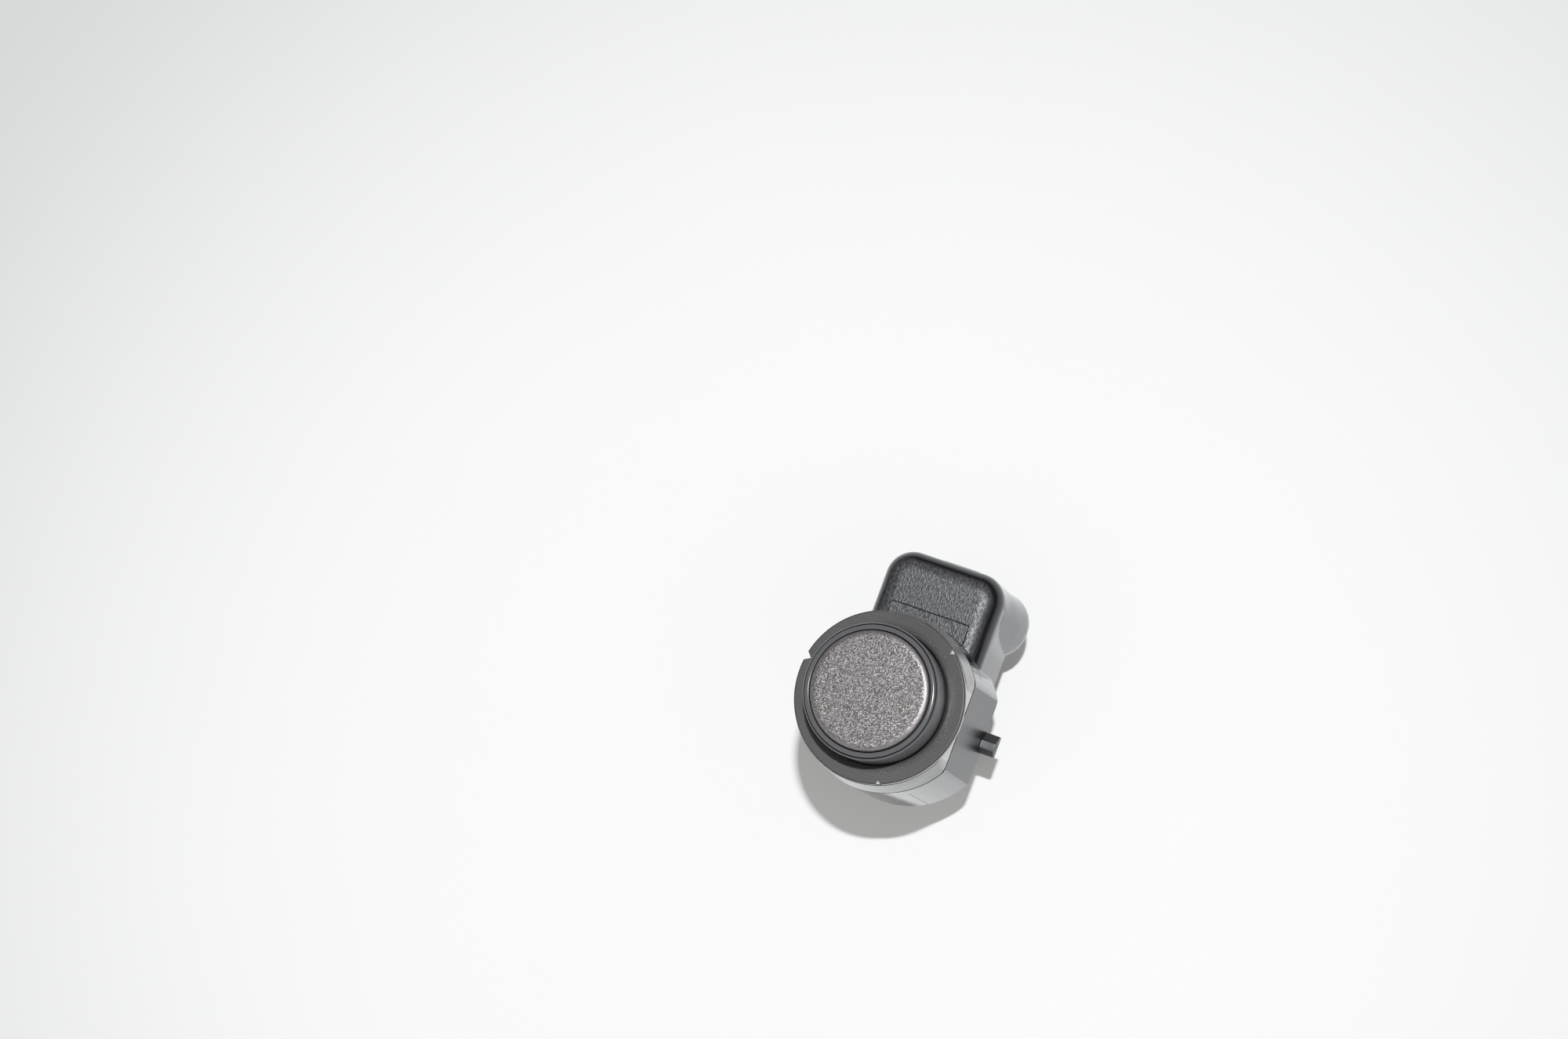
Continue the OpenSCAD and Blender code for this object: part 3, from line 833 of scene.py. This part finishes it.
def ended_finish(name, node, axis, share, colour, other, tin):
    """A component's body with tinned ends, which take a share of its length along one axis."""
    material, graph, socket = new_finish(name)
    low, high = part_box(node)
    middle = 0.5 * (low[axis] + high[axis])
    half = 0.5 * (high[axis] - low[axis])
    away = graph.math("ABSOLUTE", graph.math("SUBTRACT", graph.parts(graph.place())[axis], middle))
    ends = graph.span(away, (1.0 - share) * half - 0.05 * MM, (1.0 - share) * half + 0.05 * MM)
    grain = placed(graph, grain_group(), {"Size": 0.06 * MM, "Patches": 0.7 * MM})
    body = graph.mix(grain["Gloss"], colour, other)
    plating = graph.mix(grain["Gloss"], tin, toned(tin, 0.75))
    graph.set(socket["Base Color"], graph.mix(ends, body, plating))
    graph.set(socket["Metallic"], ends)
    graph.set(socket["Roughness"], graph.between(grain["Gloss"], 0.32, 0.48))
    graph.set(socket["Normal"], graph.bump(grain["Height"], 0.3, 0.006 * MM))
    return material


def banded_finish(name, node, axis, colour, other, band):
    """A component's body with a band at one end that marks its polarity."""
    material, graph, socket = new_finish(name)
    low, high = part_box(node)
    start = high[axis] - 0.3 * (high[axis] - low[axis])
    marked = graph.span(graph.parts(graph.place())[axis], start - 0.05 * MM, start + 0.05 * MM)
    grain = placed(graph, grain_group(), {"Size": 0.07 * MM, "Patches": 0.9 * MM})
    body = graph.mix(grain["Gloss"], colour, other)
    graph.set(socket["Base Color"], graph.mix(marked, body, band))
    graph.set(socket["Roughness"], graph.between(grain["Gloss"], 0.4, 0.55))
    graph.set(socket["Normal"], graph.bump(grain["Height"], 0.35, 0.008 * MM))
    return material


def board_finish(name):
    """Green lacquer over copper tracks on woven laminate."""
    material, graph, socket = new_finish(name)
    weave_size = 0.45 * MM
    x, _, z = graph.parts(graph.place())
    flat = graph.joined(x, z, 0.0)
    tracks = graph.node("ShaderNodeTexBrick", {
        "Vector": flat, "Scale": 1.0, "Brick Width": 2.1 * MM, "Row Height": 0.9 * MM,
        "Mortar Size": 0.12 * MM, "Mortar Smooth": 0.2,
        "Color1": (0, 0, 0, 1), "Color2": (0, 0, 0, 1), "Mortar": (1, 1, 1, 1),
    }).outputs["Fac"]
    warp = graph.math("SINE", graph.product(x, 2 * math.pi / weave_size))
    weft = graph.math("SINE", graph.product(z, 2 * math.pi / weave_size))
    weave = graph.product(warp, weft)
    ground = graph.mix(graph.span(weave, -1.0, 1.0), (0.010, 0.085, 0.038), (0.016, 0.105, 0.05))
    graph.set(socket["Base Color"], graph.mix(tracks, ground, (0.03, 0.20, 0.085)))
    graph.set(socket["Roughness"], graph.span(weave, -1.0, 1.0, 0.22, 0.32))
    height = graph.math("MULTIPLY_ADD", weave, 0.15, tracks)
    graph.set(socket["Normal"], graph.bump(height, 0.4, 0.03 * MM))
    return material


def winding_finish(name):
    """Turns of lacquered copper wire around the transformer's axis, which runs along Y, with painted
    shade between the turns.
    """
    material, graph, socket = new_finish(name)
    place = graph.place()
    y = graph.parts(place)[1]
    wire_size = 0.16 * MM
    turn = graph.math("SINE", graph.product(y, 2 * math.pi / wire_size))
    uneven = graph.span(graph.noise(place, 1.0 / (0.6 * MM), 3.0), 0.3, 0.7)
    wire = graph.mix(uneven, (0.50, 0.19, 0.06), (0.64, 0.28, 0.10))
    # The grooves between turns are painted dark: painted shade.
    graph.set(socket["Base Color"], graph.mix(graph.span(turn, -0.9, -0.3), (0.10, 0.03, 0.01), wire))
    graph.set(socket["Roughness"], graph.between(uneven, 0.22, 0.36))
    graph.set(socket["Normal"], graph.bump(turn, 0.8, 0.03 * MM))
    socket["Metallic"].default_value = 0.9
    return material


def foam_finish(name):
    """Dark foam with open cells, painted darker inside them as shade."""
    material, graph, socket = new_finish(name)
    cells = graph.cells(graph.place(), 1.0 / (0.35 * MM))
    # The cells' hollows are painted dark: painted shade inside the pores.
    wall = graph.span(cells["Distance"], 0.2, 0.6)
    graph.set(socket["Base Color"], graph.mix(wall, (0.035, 0.037, 0.04), (0.15, 0.155, 0.16)))
    graph.set(socket["Roughness"], graph.between(wall, 0.95, 0.75))
    graph.set(socket["Normal"], graph.bump(wall, 0.9, 0.12 * MM))
    return material


def potting_finish(name):
    """Cast compound with slow ripples, a few bubbles and dust."""
    material, graph, socket = new_finish(name)
    place = graph.place()
    ripple = graph.noise(place, 1.0 / (2.5 * MM), 2.0)
    bubbles = placed(graph, speck_group(), {"Spacing": 2.2 * MM, "Share": 0.18, "Radius": 0.2})
    dust = placed(graph, speck_group(), {"Spacing": 0.6 * MM, "Share": 0.1, "Radius": 0.1})
    base = graph.mix(graph.span(ripple, 0.3, 0.7), (0.010, 0.010, 0.012), (0.017, 0.017, 0.019))
    graph.set(socket["Base Color"], graph.mix(dust["Mask"], base, GREY_DUST))
    graph.set(socket["Roughness"], graph.span(ripple, 0.3, 0.7, 0.14, 0.26))
    height = graph.math("MULTIPLY_ADD", bubbles["Mask"], -0.6, ripple)
    graph.set(socket["Normal"], graph.bump(height, 0.5, 0.3 * MM))
    return material


def inner_finishes(tin):
    """The finish of each piece inside, by node."""
    return {
        "piezo_disc": plain_finish(
            "piezo_ceramic", (0.55, 0.47, 0.33), (0.63, 0.56, 0.42), 0.08 * MM, 0.45),
        "damping_pad": foam_finish("pad_foam"),
        "cup_seal": plain_finish(
            "seal_silicone", (0.46, 0.45, 0.42), (0.52, 0.51, 0.48), 0.3 * MM, 0.4),
        "signal_lead": plain_finish(
            "signal_lead", (0.42, 0.05, 0.03), (0.36, 0.04, 0.03), 0.05 * MM, 0.35),
        "return_lead": plain_finish(
            "return_lead", (0.02, 0.02, 0.022), (0.03, 0.03, 0.032), 0.05 * MM, 0.35),
        "contact_carrier": plain_finish(
            "carrier_plastic", (0.03, 0.03, 0.034), (0.042, 0.042, 0.046), 0.09 * MM, 0.4),
        "circuit_board": board_finish("board_laminate"),
        "control_chip": ended_finish(
            "chip_epoxy", "control_chip", ALONG_X, 0.26,
            (0.02, 0.02, 0.022), (0.03, 0.03, 0.033), tin),
        "transformer_bobbin": plain_finish(
            "bobbin_plastic", (0.66, 0.60, 0.44), (0.72, 0.66, 0.50), 0.1 * MM, 0.45),
        "transformer_winding": winding_finish("winding_copper"),
        "transformer_core": plain_finish(
            "core_ferrite", (0.06, 0.06, 0.058), (0.09, 0.088, 0.085), 0.06 * MM, 0.5),
        "buffer_capacitor": banded_finish(
            "buffer_body", "buffer_capacitor", ALONG_X,
            (0.56, 0.28, 0.05), (0.62, 0.33, 0.07), (0.16, 0.06, 0.02)),
        "protection_diode": banded_finish(
            "diode_epoxy", "protection_diode", ALONG_X,
            (0.02, 0.02, 0.022), (0.032, 0.032, 0.034), (0.36, 0.36, 0.36)),
        "ceramic_capacitors": ended_finish(
            "capacitor_ceramic", "ceramic_capacitors", ALONG_Z, 0.28,
            (0.36, 0.26, 0.15), (0.42, 0.31, 0.19), tin),
        "chip_resistors": ended_finish(
            "resistor_ceramic", "chip_resistors", ALONG_Z, 0.24,
            (0.014, 0.014, 0.016), (0.03, 0.03, 0.03), tin),
        "potting_compound": potting_finish("potting"),
    }


# Meshes

def welded(node):
    """A closed copy of a CAD node with flat areas joined; the node's own mesh isn't touched."""
    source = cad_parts[node].data
    work = bmesh.new()
    work.from_mesh(source)
    bmesh.ops.remove_doubles(work, verts=work.verts, dist=WELD_DISTANCE)
    bmesh.ops.dissolve_limit(
        work, angle_limit=FLAT_ANGLE, verts=work.verts, edges=work.edges, use_dissolve_boundaries=False
    )
    open_edges = [e for e in work.edges if len(e.link_faces) != 2]
    if open_edges:
        raise RuntimeError(f"{node}: {len(open_edges)} open edges after welding")
    return work


def bevelled(work, edges, offset, steps):
    """Rounds the given edges."""
    if edges and offset > 0:
        bmesh.ops.bevel(
            work, geom=edges, offset=offset, offset_type="OFFSET", segments=steps,
            profile=0.5, affect="EDGES", clamp_overlap=False, loop_slide=True,
        )


def flat_corners(work, flat):
    """The upright edges where the two flats meet the round."""
    found = []
    for edge in work.edges:
        one, two = (v.co for v in edge.verts)
        at_flat = max(abs(abs(p.x) - flat) for p in (one, two)) < 2.0 * CLOSE
        upright = abs(one.z - two.z) > 1.5 * abs(one.y - two.y)
        if at_flat and upright and CORNER_LOW < edge.calc_face_angle(0.0) < CORNER_HIGH:
            found.append(edge)
    return found


def soften_shroud(work, low_z, high_z, near_y, far_y, spacing=0.8 * MM, cuts=5, rounds=20):
    """Cuts the shroud's outer walls into small faces and eases the creases between them."""
    def is_wall(face):
        middle = face.calc_center_median()
        heights = [v.co.z for v in face.verts]
        if min(heights) < low_z - CLOSE or max(heights) > high_z + CLOSE:
            return False
        if middle.y < near_y or max(v.co.y for v in face.verts) > far_y + CLOSE:
            return False
        outward = Vector((middle.x, middle.y - 0.5 * (near_y + far_y), 0.0))
        return abs(face.normal.z) < WALL_SLOPE and face.normal.dot(outward) > 0

    for _ in range(cuts):
        walls = [f for f in work.faces if is_wall(f)]
        bmesh.ops.triangulate(work, faces=walls)
        walls = [f for f in work.faces if is_wall(f)]
        work.edges.index_update()
        long = {e.index: e for f in walls for e in f.edges if e.calc_length() > spacing}
        if not long:
            break
        bmesh.ops.subdivide_edges(work, edges=[long[i] for i in sorted(long)], cuts=1)
        work.normal_update()
    walls = {f for f in work.faces if is_wall(f)}
    free = [v for v in work.verts if v.link_faces and all(f in walls for f in v.link_faces)]
    for _ in range(rounds):
        bmesh.ops.smooth_vert(
            work, verts=free, factor=0.5, use_axis_x=True, use_axis_y=True, use_axis_z=True
        )
    work.normal_update()


def finished(work, name):
    """Turns a worked copy into a smooth piece with its sharp edges kept and its worn edges marked."""
    for face in work.faces:
        face.smooth = True
    for edge in work.edges:
        edge.smooth = edge.calc_face_angle(0.0) < SHARP_ANGLE
    layer = work.verts.layers.float.new("edge")
    for vert in work.verts:
        turn = max((e.calc_face_angle_signed(0.0) for e in vert.link_edges), default=0.0)
        vert[layer] = min(1.0, max(0.0, math.degrees(turn) / RUB_TURN - RUB_START))
    mesh = bpy.data.meshes.new(name)
    work.to_mesh(mesh)
    work.free()
    piece = bpy.data.objects.new(name, mesh)
    bpy.context.scene.collection.objects.link(piece)
    evened = piece.modifiers.new("even_normals", "WEIGHTED_NORMAL")
    evened.weight = 60
    evened.keep_sharp = True
    return piece


def moulded_housing(sizes):
    """The housing with rounded flats, a soft shroud and moulded edges, but a crisp rim at the seam."""
    flat, box_top = housing_places()[:2]
    rounded = welded("housing")
    points = [v.co for v in rounded.verts]
    collar_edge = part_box("front_collar")[1].y
    seam = max(p.z for p in points if math.hypot(p.x, p.y) > 0.95 * collar_edge)
    mouth = min(p.z for p in points if p.y > collar_edge)
    box_far = max(p.y for p in points if p.z > box_top - BOX_ROUND)
    bevelled(rounded, flat_corners(rounded, flat), sizes.flat_round, FLAT_STEPS)
    # A fresh copy, because new faces in a bevelled mesh come in another order in each run
    work = rounded.copy()
    rounded.free()
    soften_shroud(work, mouth + SHROUD_BAND, box_top - BOX_ROUND, collar_edge, box_far)
    hard = []
    for edge in work.edges:
        at_seam = min(v.co.z for v in edge.verts) > seam - SEAM_BAND
        if not at_seam and edge.calc_face_angle(0.0) > SHARP_ANGLE:
            hard.append(edge)
    bevelled(work, hard, sizes.edge_radius, sizes.edge_steps)
    return finished(work, "moulded_housing")


def moulded_ring():
    """The ring with its lip drawn in above a wider, rounded shoulder, and a groove between them."""
    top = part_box("decoupling_ring")[1].z
    work = welded("decoupling_ring")
    lip = [v.co for v in work.verts if v.co.z > top - LIP_BAND]
    shoulder = [v.co for v in work.verts if top - SHOULDER_BAND < v.co.z <= top - LIP_BAND]
    inner = min(math.hypot(p.x, p.y) for p in lip)
    outer = max(math.hypot(p.x, p.y) for p in lip)
    middle = 0.5 * (inner + outer)
    groove = max(p.z for p in shoulder)
    for point in lip:
        radius = math.hypot(point.x, point.y)
        moved = LIP_OPEN if radius < middle else -LIP_DRAW
        point.xy *= 1.0 + moved / radius
        point.z -= LIP_LOWER
    for point in shoulder:
        radius = math.hypot(point.x, point.y)
        if point.z > groove - CLOSE:
            point.z -= GROOVE_LOWER
        elif radius > middle:
            point.xy *= 1.0 + SHOULDER_OUT / radius
    work.normal_update()
    return finished(work, "moulded_ring")


def moulded_collar(sizes):
    """The collar with the same rounded flats as the housing."""
    flat = housing_places()[0]
    work = welded("front_collar")
    bevelled(work, flat_corners(work, flat), sizes.flat_round, FLAT_STEPS)
    return finished(work, "moulded_collar")


def settle(piece, node, material):
    """Lets a piece stand for a CAD node and wear its finish."""
    piece.data.materials.clear()
    piece.data.materials.append(material)
    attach(piece, BODY)
    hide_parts(node)


# Operators

class SENSOR_OT_membrane(bpy.types.Operator):
    """Paint the transducer cup, whose front is the membrane"""

    bl_idname = "parking_sensor.membrane"
    bl_label = "Membrane"

    def execute(self, context):
        scene = context.scene
        dress("transducer_cup", paint_finish(scene.sensor_sizes, scene.sensor_colours))
        return {"FINISHED"}


class SENSOR_OT_ring(bpy.types.Operator):
    """Build the silicone ring around the membrane"""

    bl_idname = "parking_sensor.ring"
    bl_label = "Decoupling ring"

    def execute(self, context):
        scene = context.scene
        settle(moulded_ring(), "decoupling_ring", silicone_finish(scene.sensor_colours))
        return {"FINISHED"}


class SENSOR_OT_collar(bpy.types.Operator):
    """Build the front collar with rounded flats"""

    bl_idname = "parking_sensor.collar"
    bl_label = "Front collar"

    def execute(self, context):
        scene = context.scene
        sizes = scene.sensor_sizes
        piece = moulded_collar(sizes)
        settle(piece, "front_collar", collar_finish(sizes, scene.sensor_colours))
        return {"FINISHED"}


class SENSOR_OT_housing(bpy.types.Operator):
    """Build the housing with moulded edges"""

    bl_idname = "parking_sensor.housing"
    bl_label = "Housing"

    def execute(self, context):
        scene = context.scene
        sizes = scene.sensor_sizes
        piece = moulded_housing(sizes)
        settle(piece, "housing", housing_finish(sizes, scene.sensor_colours))
        return {"FINISHED"}


class SENSOR_OT_contacts(bpy.types.Operator):
    """Finish the terminals and the transducer pins"""

    bl_idname = "parking_sensor.contacts"
    bl_label = "Terminals and pins"

    def execute(self, context):
        colours = context.scene.sensor_colours
        terminal = tin_finish(colours, "terminal_tin")
        for node in ("supply_terminal", "data_terminal", "ground_terminal"):
            dress(node, terminal)
        pin = tin_finish(colours, "pin_tin")
        for node in ("signal_pin", "return_pin"):
            dress(node, pin)
        return {"FINISHED"}


class SENSOR_OT_inner(bpy.types.Operator):
    """Finish the pieces inside"""

    bl_idname = "parking_sensor.inner"
    bl_label = "Pieces inside"

    def execute(self, context):
        finishes = inner_finishes(list(context.scene.sensor_colours.tin))
        for node, material in finishes.items():
            dress(node, material)
        return {"FINISHED"}


class SENSOR_OT_stage(bpy.types.Operator):
    """Set the floor, the light and the camera"""

    bl_idname = "parking_sensor.stage"
    bl_label = "Stage"

    def execute(self, context):
        scene = context.scene
        stage = scene.sensor_stage
        floor_z = cad_box[0][2]
        self.floor(scene, stage, floor_z)
        self.light(scene, stage, floor_z)
        self.camera(scene)
        self.response(scene)
        return {"FINISHED"}

    def floor(self, scene, stage, floor_z):
        material, graph, socket = new_finish("floor_laminate")
        place = graph.place()
        tone = graph.span(graph.noise(place, 1.0 / FLOOR_PATCH, 3.0), 0.2, 0.8)
        pale = graph.mix(tone, stage.floor, toned(stage.floor, 0.985))
        # The floor is painted lighter near the sensor and darker far away: a painted pool of light.
        away = graph.vector_length(graph.vector("SUBTRACT", place, FLOOR_LIGHT_POOL_MIDDLE))
        light_pool_fade = graph.span(away, *FLOOR_LIGHT_POOL_FADE)
        graph.set(socket["Base Color"], graph.mix(light_pool_fade, pale, toned(stage.floor, stage.far_floor)))
        socket["Roughness"].default_value = 0.6
        socket["Specular IOR Level"].default_value = 0.2
        half = FLOOR_HALF
        corners = [(-half, -half, 0.0), (half, -half, 0.0), (half, half, 0.0), (-half, half, 0.0)]
        mesh = bpy.data.meshes.new("floor")
        mesh.from_pydata(corners, [], [(0, 1, 2, 3)])
        mesh.materials.append(material)
        floor = bpy.data.objects.new("floor", mesh)
        floor.location.z = floor_z
        scene.collection.objects.link(floor)

    def light(self, scene, stage, floor_z):
        world = bpy.data.worlds.new("studio")
        scene.world = world
        world.use_nodes = True
        graph = Graph(world.node_tree)
        towards_room = graph.node("ShaderNodeTexCoord").outputs["Generated"]
        up = graph.parts(towards_room)[2]
        side = graph.span(graph.dot(towards_room, SKY_SIDE), *SKY_TURN, SKY_REST, 1.0)
        rise = graph.span(up, *SKY_RISE, stage.horizon, stage.sky)
        fall = graph.span(up, *SKY_FALL, 1.0, stage.zenith)
        strength = graph.product(rise, fall, side)
        background = world.node_tree.nodes["Background"]
        background.inputs["Color"].default_value = SKY_COLOUR
        graph.set(background.inputs["Strength"], strength)
        towards = LIGHT_TOWARDS.normalized()
        lamp = bpy.data.lights.new("key", "AREA")
        lamp.shape = "RECTANGLE"
        lamp.size = LIGHT_WIDTH * LIGHT_DISTANCE
        lamp.size_y = LIGHT_HEIGHT * LIGHT_DISTANCE
        lamp.color = LIGHT_COLOUR
        lamp.energy = stage.key_power
        key = bpy.data.objects.new("key", lamp)
        across = Vector((CAMERA_RIGHT.x, CAMERA_RIGHT.y, 0.0))
        across = (across - across.dot(towards) * towards).normalized()
        along = towards.cross(across)
        turn = Matrix((across, along, towards)).transposed()
        middle = Vector((0.0, 0.0, 0.5 * floor_z))
        key.matrix_world = Matrix.Translation(middle + towards * LIGHT_DISTANCE) @ turn.to_4x4()
        scene.collection.objects.link(key)

    def camera(self, scene):
        data = bpy.data.cameras.new("photo_camera")
        data.sensor_fit = "HORIZONTAL"
        data.sensor_width = SENSOR_WIDTH
        data.lens = FOCAL_PIXELS * SENSOR_WIDTH / PHOTO_WIDTH
        data.clip_start = 0.01
        camera = bpy.data.objects.new("photo_camera", data)
        turn = Matrix((CAMERA_RIGHT, CAMERA_UP, CAMERA_BACK)).transposed()
        camera.matrix_world = Matrix.Translation(CAMERA_PLACE) @ turn.to_4x4()
        scene.collection.objects.link(camera)
        scene.camera = camera

    def response(self, scene):
        """Keeps mid tones as they are and rolls off the bright floor, as a camera does."""
        view = scene.view_settings
        view.view_transform = "Standard"
        view.use_curve_mapping = True
        mapping = view.curve_mapping
        mapping.white_level = (WHITE_LEVEL, WHITE_LEVEL, WHITE_LEVEL)
        combined = mapping.curves[COMBINED_CURVE]
        combined.points[-1].location = (1.0, RESPONSE[-1][1])
        for light, shown in RESPONSE[:-1]:
            combined.points.new(light / WHITE_LEVEL, shown)
        mapping.update()


class SENSOR_PT_builder(bpy.types.Panel):
    """Lists the steps that dress the parking sensor"""

    bl_idname = "SENSOR_PT_builder"
    bl_label = "Parking sensor"
    bl_space_type = "VIEW_3D"
    bl_region_type = "UI"
    bl_category = "Parking sensor"

    def draw(self, context):
        for step in STEPS:
            self.layout.operator(step.bl_idname)
        scene = context.scene
        for group in (scene.sensor_sizes, scene.sensor_colours, scene.sensor_stage):
            for prop in group.bl_rna.properties:
                if prop.identifier not in ("rna_type", "name"):
                    self.layout.prop(group, prop.identifier)


STEPS = (
    SENSOR_OT_membrane,
    SENSOR_OT_ring,
    SENSOR_OT_collar,
    SENSOR_OT_housing,
    SENSOR_OT_contacts,
    SENSOR_OT_inner,
    SENSOR_OT_stage,
)
GROUPS = (SensorSizes, SensorColours, SensorStage)


def register():
    for cls in (*GROUPS, *STEPS, SENSOR_PT_builder):
        bpy.utils.register_class(cls)
    bpy.types.Scene.sensor_sizes = PointerProperty(type=SensorSizes)
    bpy.types.Scene.sensor_colours = PointerProperty(type=SensorColours)
    bpy.types.Scene.sensor_stage = PointerProperty(type=SensorStage)


def unregister():
    del bpy.types.Scene.sensor_stage
    del bpy.types.Scene.sensor_colours
    del bpy.types.Scene.sensor_sizes
    for cls in reversed((*GROUPS, *STEPS, SENSOR_PT_builder)):
        bpy.utils.unregister_class(cls)


def main():
    register()
    bpy.ops.parking_sensor.membrane()
    bpy.ops.parking_sensor.ring()
    bpy.ops.parking_sensor.collar()
    bpy.ops.parking_sensor.housing()
    bpy.ops.parking_sensor.contacts()
    bpy.ops.parking_sensor.inner()
    bpy.ops.parking_sensor.stage()


if __name__ == "__main__":
    main()
